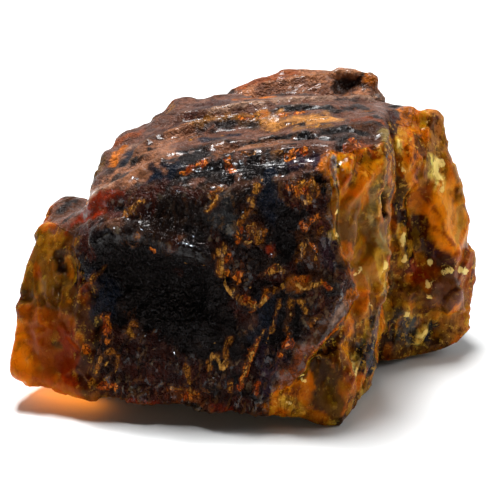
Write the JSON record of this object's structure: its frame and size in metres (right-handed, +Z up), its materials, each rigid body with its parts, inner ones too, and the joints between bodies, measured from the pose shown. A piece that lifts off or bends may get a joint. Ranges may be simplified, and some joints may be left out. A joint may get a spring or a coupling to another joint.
{
  "type": "raw amber piece",
  "caption": "Rough blocky lump of raw amber with a dark layered crust, clear honey-coloured broken faces, ledges, a deep cleft and a raised back hump.",
  "frame": {"origin": "under the middle of the bounding box, on the plane the lump rests on", "axes": "+X along the longest side, to the right as seen from the dark front face; -Y out of the dark front face; +Z up"},
  "size_m": [0.08, 0.056, 0.0475],
  "materials": {
    "raw_amber": "natural fossil resin: dark brown-black fibrous crust with a satin sheen on the top and front, glossy translucent honey and orange broken faces at the left end, right and back"
  },
  "bodies": {
    "root": {"amber_lump": "raw_amber"}
  },
  "joints": []
}
